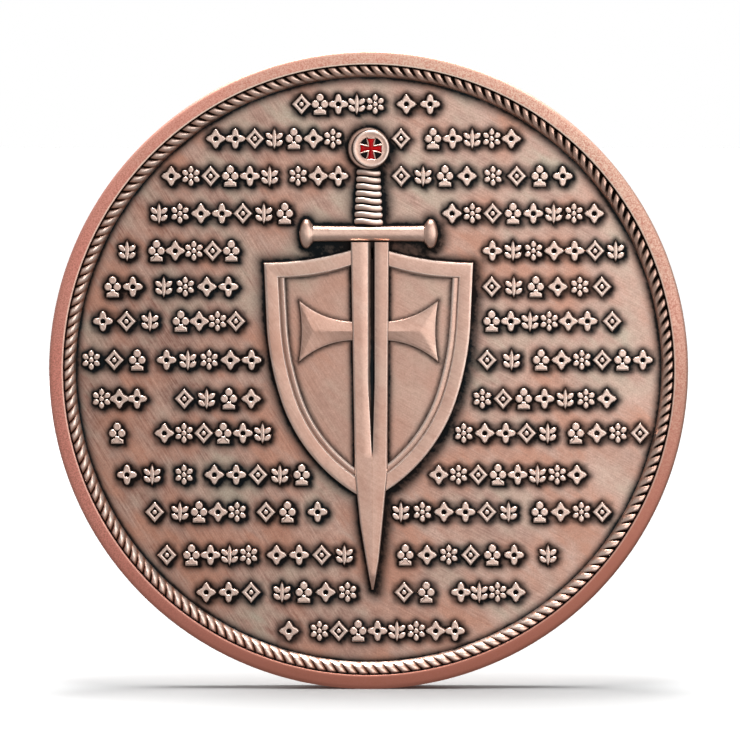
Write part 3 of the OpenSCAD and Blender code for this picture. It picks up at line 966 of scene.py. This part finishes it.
def open_lozenge(h):
    outer = hollow_lozenge(h * 0.92, h, 0.04)
    hole = hollow_lozenge(h * 0.46, h * 0.52, 0.02)[::-1]
    return [(outer, [hole]), (circle(0, 0, h * 0.11, 16), [])]


def quatrefoil(h):
    outer = polar_loop(lambda a: h * (0.365 + 0.115 * math.cos(4 * a)), 64)
    hole = circle(0, 0, h * 0.12, 24)[::-1]
    return [(outer, [hole])]


def rosette(h):
    petals = [(lens(h * 0.33, h * 0.25, a, (h * 0.15 * math.cos(a), h * 0.15 * math.sin(a))), [])
              for a in np.arange(6) * math.pi / 3 + math.pi / 6]
    return petals + [(circle(0, 0, h * 0.12, 16), [])]


def trefoil(h):
    lobes = [(circle(x * h, z * h, h * 0.18, 24), [])
             for x, z in [(0, 0.32), (-0.22, 0.0), (0.22, 0.0)]]
    foot = np.array([(-0.1, -0.14), (-0.12, -0.24), (-0.3, -0.32), (-0.3, -0.5), (0.3, -0.5),
                     (0.3, -0.32), (0.12, -0.24), (0.1, -0.14)]) * h
    return lobes + [(resample(foot, 0.08), [])]


def sprig(h):
    stem = lens(h, h * 0.2, math.pi / 2, (0, -h / 2))
    leaves = []
    for level in (-0.34, 0.0):
        for side, turn in ((1, 36), (-1, 144)):
            root = (side * h * 0.07, h * level)
            leaves.append((lens(h * 0.42, h * 0.24, math.radians(turn), root), []))
    return [(stem, [])] + leaves


def star(h):
    def radius(a):
        point = abs(a * 4 / math.pi % 2 - 1)
        long = abs(a * 2 / math.pi % 1 - 0.5) > 0.25
        return h * (0.29 + (0.19 if long else 0.13) * point ** 1.3)
    outer = polar_loop(radius, 64)
    return [(outer, [circle(0, 0, h * 0.12, 20)[::-1]])]


KINDS = [open_lozenge, quatrefoil, rosette, trefoil, sprig, star]
MOTIFS = [0, 3, 1, 4, 2, 5, 1, 0, 4, 3, 5, 2]
ORNAMENT_H = 1.44
ORNAMENT_PITCH = 1.42
# where the runs of ornament start and end, row by row, as in the CAD source
RUNS = [
    [(-5.3, 1.1), (1.8, 5.1)],
    [(-11.3, -1.8), (1.75, 2.75), (3.8, 10.6)],
    [(-14.4, -6.2), (-5.6, -1.4), (1.5, 7.6), (8.2, 9.1), (9.5, 14.3)],
    [(-15.3, -5.1), (5.1, 16.4)],
    [(-17.3, -16.3), (-15.4, -8.9), (7.9, 17.9)],
    [(-18.5, -15.7), (-15, -9), (7.8, 17)],
    [(-19.3, -14.4), (-13.7, -8.6), (7.9, 15.9), (16.4, 17.5)],
    [(-20.1, -15.3), (-14.8, -7.4), (7.4, 10.8), (11.3, 19.8)],
    [(-19.2, -15.5), (-13.6, -7.4), (7.2, 17.3)],
    [(-18, -17), (-14.9, -6.7), (5.9, 13.2), (13.7, 18.1), (18.4, 19.4)],
    [(-17.7, -14.2), (-13.6, -12.1), (-11.5, -3.9), (4.2, 15.2)],
    [(-15.4, -14.4), (-13.8, -8.5), (-7.9, -4.9), (-4.4, -2.7), (1.5, 10.5), (11.2, 17)],
    [(-14.6, -13.5), (-13, -7.7), (-7.2, -0.9), (1.8, 10.9), (12, 13)],
    [(-12.1, -7.4), (-6.8, -0.7), (1.7, 4.8), (5.8, 10.9)],
    [(-6.4, -4.7), (-4.1, 6.7)],
]


def make_row(row):
    node = f"ornament_row_{row + 1:02d}"
    z = middle(node)[2]
    top = top_of(node)
    shape = Shape()
    made = 0
    for first, last in RUNS[row]:
        count = max(1, math.floor((last - first) / ORNAMENT_PITCH + 0.5))
        step = (last - first) / count
        for k in range(count):
            x = first + step * (k + 0.5)
            kind = KINDS[MOTIFS[(made + row * 5) % len(MOTIFS)]]
            for outer, holes in kind(ORNAMENT_H):
                raised(shape, outer + (x, z), [hole + (x, z) for hole in holes], top, edge=0.05)
            made += 1
    shape.make(f"ornament_band_{row + 1:02d}", node, RELIEF, sharp=40)


# ---- borders, fields and blank ----

STRANDS = 180
# the rope's rounded section, from its outside (0) to its inside (1), and its height there
ROPE_ACROSS = [0, 0.05, 0.18, 0.42, 0.62, 0.8, 0.93, 1]
ROPE_BODY = [0.8, 0.94, 1, 1, 0.86, 0.56, 0.2, 0]
GROOVE_DEPTH = 0.5


def make_rope(name, node, back, steps):
    """A raised ring cut by slanting grooves, deep beside the rim and fading out inwards."""
    shape = Shape()
    count = STRANDS * steps
    turns = np.arange(count) / steps
    angle = 2 * math.pi * turns / STRANDS
    upper = (0.5 + 0.5 * np.sin(angle + 0.85)) ** 2
    rings = []
    for v in np.linspace(0, 1, 19):
        r = ROPE_OUT - ROPE_W * v
        phase = (turns + v ** 1.35) % 1
        strand = np.sin(math.pi * np.clip((phase - 0.09) / 0.86, 0, 1)) ** 0.28
        # each strand leans over, so that its upper shoulder is the rounder one
        strand *= 1 - 0.2 * phase
        body = np.interp(v, ROPE_ACROSS, ROPE_BODY)
        depth = GROOVE_DEPTH * (1 - v ** 2.5)
        h = ROPE_RISE * body * (1 - depth * (1 - strand)) + (0.0 if v < 1 else FOOT_H)
        # painted shade: beyond their patina, the slits are painted darkest at the upper right and
        # least at the lower left
        slit = np.abs((phase + 0.48) % 1 - 0.5)
        dark = np.clip((0.075 + 0.16 * upper - slit) / 0.07 + 0.5, 0, 1)
        dark *= 1 - min(1.0, (v / 0.9) ** 4)
        # painted highlight: each strand's upper shoulder is painted pale, most at the lower left
        # and least at the upper right
        wear_and_highlight = np.clip(1.3 - 1.6 * phase + v * 0.8, 0, 1) * np.clip(strand * 4 - 2.4, 0, 1)
        wear_and_highlight *= 0.96 - 0.76 * upper
        rings.append(shape.ring(circle(0, 0, r, count), h, dark, wear_and_highlight))
    under = shape.ring(circle(0, 0, ROPE_OUT, count), FOOT_H, 1.0)
    shape.bands(rings + [under, rings[0]])
    shape.make(name, node, ROPE, back=back, sharp=80)


def halo(x, z, trees):
    """How much patina and painted shadow the field holds at a point, from what stands near it."""
    dark = 0.0
    for tree, reach, lean in trees:
        # painted shadow: more of it lies below and to the right of what stands there
        for part, most in ((0.0, 1.0), (0.5, 0.93), (1.0, 0.82)):
            near = tree.find((x - lean * part, z + lean * part * 0.7, 0))[2]
            dark = max(dark, most * math.exp(-(near / reach) ** 1.4))
    return dark


def under_guard(x, z):
    """Darkens the field in the gap between the guard and the top of the shield."""
    t = min(1.0, abs(x) / SHIELD_X)
    shield_top = SHIELD_Z + (SHIELD_PEAK - SHIELD_Z) * (1 - t) ** 2
    above = min(z - shield_top, GUARD_Z - z) / 0.25
    beside = (GUARD_HALF + 1.4 - abs(x)) / 1.1
    return 0.8 * min(1.0, max(0.0, above)) * min(1.0, max(0.0, beside))


def run_places():
    """Left end, right end and height of every run of ornament."""
    places = []
    for row, runs in enumerate(RUNS):
        z = middle(f"ornament_row_{row + 1:02d}")[2]
        places += [(first, last, z) for first, last in runs]
    return np.array(places).T


def between_ornaments(xz, places):
    """How far points lie inside a run of ornament, where dark finish is held back."""
    low, high, z = places
    inside = np.minimum(xz[:, :1] - low, high - xz[:, :1])
    inside = np.minimum(inside, ORNAMENT_H * 0.5 - np.abs(xz[:, 1:] - z + 0.06))
    return np.clip(inside.max(axis=1) / 0.3 + 0.7, 0, 1)


def make_field(name, back, material, trees, count, step):
    """A thin disc with a dense top, so that its patina and painted shade can follow the relief."""
    shape = Shape()
    rings = []
    places = run_places()
    top = RIM_R + 0.005
    for r in np.concatenate([[0.08], np.arange(step, top - step / 2, step), [top]]):
        xz = circle(0, 0, r, count)
        # patina also pools along the inside of the rope, painted wider at the upper right as shade
        gap = max(0.0, ROPE_OUT - ROPE_W - r)
        held = np.zeros(count) if back else between_ornaments(xz, places)
        dark = []
        for (x, z), part in zip(xz, held):
            reach = 0.3 + 0.08 * max(0.0, x + z) / r
            pooled = 0.0 if back else under_guard(x, z)
            near = max(math.exp(-(gap / reach) ** 1.4), halo(x, z, trees), pooled)
            dark.append(1 - (1 - near) * (1 - 0.36 * part))
        h = 0.006 * np.sin(xz[:, 0] * 0.9 + 1.3 * np.sin(xz[:, 1] * 0.6)) - 0.006
        rings.append(shape.ring(xz, h, dark, 0.0))
    under = shape.ring(circle(0, 0, top, count), -0.05, 1.0)
    shape.tube(rings + [under])
    shape.make(name, "coin_blank", material, back=back, sharp=60)


def make_blank():
    """Rim, edge and web, turned from one profile of radius and height."""
    rim_h = HALF_T - FIELD_Y
    thick = 2 * FIELD_Y
    side = [
        (RIM_R, -0.05, 1.0, 0.0), (RIM_R, rim_h * 0.45, 1.0, 0.0), (RIM_R, rim_h - 0.1, 0.7, 0.0),
        (RIM_R + 0.01, rim_h - 0.04, 0.0, 1.0), (RIM_R + 0.03, rim_h - 0.01, 0.0, 1.0),
        (RIM_R + 0.08, rim_h, 0.0, 1.0), (RIM_R + 0.12, rim_h, 0.0, 0.0),
        (RIM_R + 0.3, rim_h - 0.015, 0.0, 0.0), (COIN_R - 0.3, rim_h - 0.05, 0.0, 0.0),
        (COIN_R - 0.17, rim_h - 0.07, 0.0, 0.0),
        (COIN_R - 0.09, rim_h - 0.1, 0.0, 0.1), (COIN_R - 0.03, rim_h - 0.14, 0.0, 0.1),
        (COIN_R, rim_h - 0.18, 0.0, 0.0), (COIN_R, rim_h - 0.8, 0.0, 0.0),
    ]
    profile = side + [(r, -thick - h, d, w) for r, h, d, w in side[::-1]]
    shape = Shape()
    # painted highlight: the lip beside the rope is painted brightest at the top, over its wear
    count = 512
    bright = 0.55 + 0.45 * np.sin(2 * math.pi * np.arange(count) / count)
    rings = [shape.ring(circle(0, 0, r, count), h, d, w * bright) for r, h, d, w in profile]
    shape.tube(rings)
    shape.make("coin_rim_and_edge", "coin_blank", RIM, sharp=40)


def make_panel_ring():
    high = node_mm("panel_ring_reverse")[1]
    outer = circle(0, 0, high[0], 360)
    inner = circle(0, 0, high[0] - 0.7, 360)[::-1]
    shape = Shape()
    raised(shape, outer, [inner], high[1] - FIELD_Y, foot=None)
    shape.make("reverse_panel_ring", "panel_ring_reverse", RELIEF, back=True)
    return [outer, inner]


make_frame_and_ledge()
make_cross()
make_blade()
make_guard()
make_knobs()
make_grip()
make_wraps()
make_pommel()
make_enamel()
for row in range(len(RUNS)):
    make_row(row)
make_plate()
make_rope("rope_strands_obverse", "rope_border_obverse", False, 15)
make_rope("rope_strands_reverse", "rope_border_reverse", True, 10)
make_blank()
make_field("obverse_field", False, FIELD,
           [(tree_of(FEET["fine"]), 0.27, 0.18), (tree_of(FEET["bold"]), 0.5, 0.32)], 640, 0.15)
make_field("reverse_field", True, REVERSE, [(tree_of(make_panel_ring()), 0.36, 0.0)], 360, 0.3)

# ---- stage, light and camera ----

FLOOR_HALF = 3.0
# just light enough to reach white under these lights
FLOOR_GREY = 0.243
ROOM_LIGHT = 0.36
# a row of soft suns overhead, from front to back, so that the shadow is one soft lens: how far
# each leans, and its strength
SKY = [(-0.3, 2.8), (-0.1, 2.9), (0.1, 3.0), (0.3, 3.0)]
SUN_SPREAD = math.radians(15)
CAMERA_ELEVATION = math.radians(2.5)
CAMERA_DISTANCE = 0.5
# what the picture shows: its width and its middle, in the plane of the coin's axis
VIEW_WIDTH = 51.64 * MM
VIEW_MIDDLE = Vector((0.098 * MM, 0, -0.042 * MM))


def plain(name, colour, roughness):
    m = Nodes(name)
    m.out("Base Color", (*colour, 1))
    m.out("Roughness", roughness)
    return m.material


def make_floor():
    size = FLOOR_HALF
    mesh = bpy.data.meshes.new("floor")
    corners = [(-size, -size), (size, -size), (size, size), (-size, size)]
    mesh.from_pydata([(x, y, FLOOR_Z * MM) for x, y in corners], [], [(0, 1, 2, 3)])
    mesh.materials.append(plain("floor_white", (FLOOR_GREY,) * 3, 0.8))
    floor = new_object("floor", mesh)
    # the metal mirrors a darker room, not the white table
    floor.visible_glossy = False


def aim(thing, target):
    direction = Vector(target) - thing.location
    thing.rotation_euler = direction.to_track_quat("-Z", "Y").to_euler()


def new_light(name, kind, at, power):
    data = bpy.data.lights.new(name, kind)
    data.energy = power
    light = new_object(name, data)
    light.location = at
    aim(light, (0, 0, 0))
    return data


def area_light(name, at, size, power):
    data = new_light(name, "AREA", at, power)
    data.shape = "SQUARE"
    data.size = size


def make_world():
    """White where the camera sees it, and a soft grey room for the metal to reflect."""
    world = bpy.data.worlds.new("studio")
    bpy.context.scene.world = world
    world.use_nodes = True
    tree = world.node_tree
    back = tree.nodes["Background"]
    seen = tree.nodes.new("ShaderNodeBackground")
    seen.inputs["Color"].default_value = (1, 1, 1, 1)
    back.inputs["Color"].default_value = (1, 1, 1, 1)
    back.inputs["Strength"].default_value = ROOM_LIGHT
    path = tree.nodes.new("ShaderNodeLightPath")
    mix = tree.nodes.new("ShaderNodeMixShader")
    tree.links.new(path.outputs["Is Camera Ray"], mix.inputs[0])
    tree.links.new(back.outputs[0], mix.inputs[1])
    tree.links.new(seen.outputs[0], mix.inputs[2])
    tree.links.new(mix.outputs[0], tree.nodes["World Output"].inputs[0])


def make_camera():
    data = bpy.data.cameras.new("camera")
    data.sensor_width = 36
    data.lens = data.sensor_width * CAMERA_DISTANCE / VIEW_WIDTH
    data.clip_start, data.clip_end = 0.01, 20
    camera = new_object("camera", data)
    back = Vector((0, -math.cos(CAMERA_ELEVATION), math.sin(CAMERA_ELEVATION)))
    camera.location = VIEW_MIDDLE + CAMERA_DISTANCE * back
    aim(camera, VIEW_MIDDLE)
    bpy.context.scene.camera = camera


make_floor()
make_world()
area_light("front_fill", (0.13, -0.34, 0.055), 0.25, 0.5)
area_light("back_fill", (-0.16, 0.4, 0.12), 0.3, 1.2)
for number, (lean, strength) in enumerate(SKY, 1):
    new_light(f"sky_{number}", "SUN", (0.01, lean, 1.0), strength).angle = SUN_SPREAD
make_camera()
bpy.context.scene.view_settings.view_transform = "Standard"
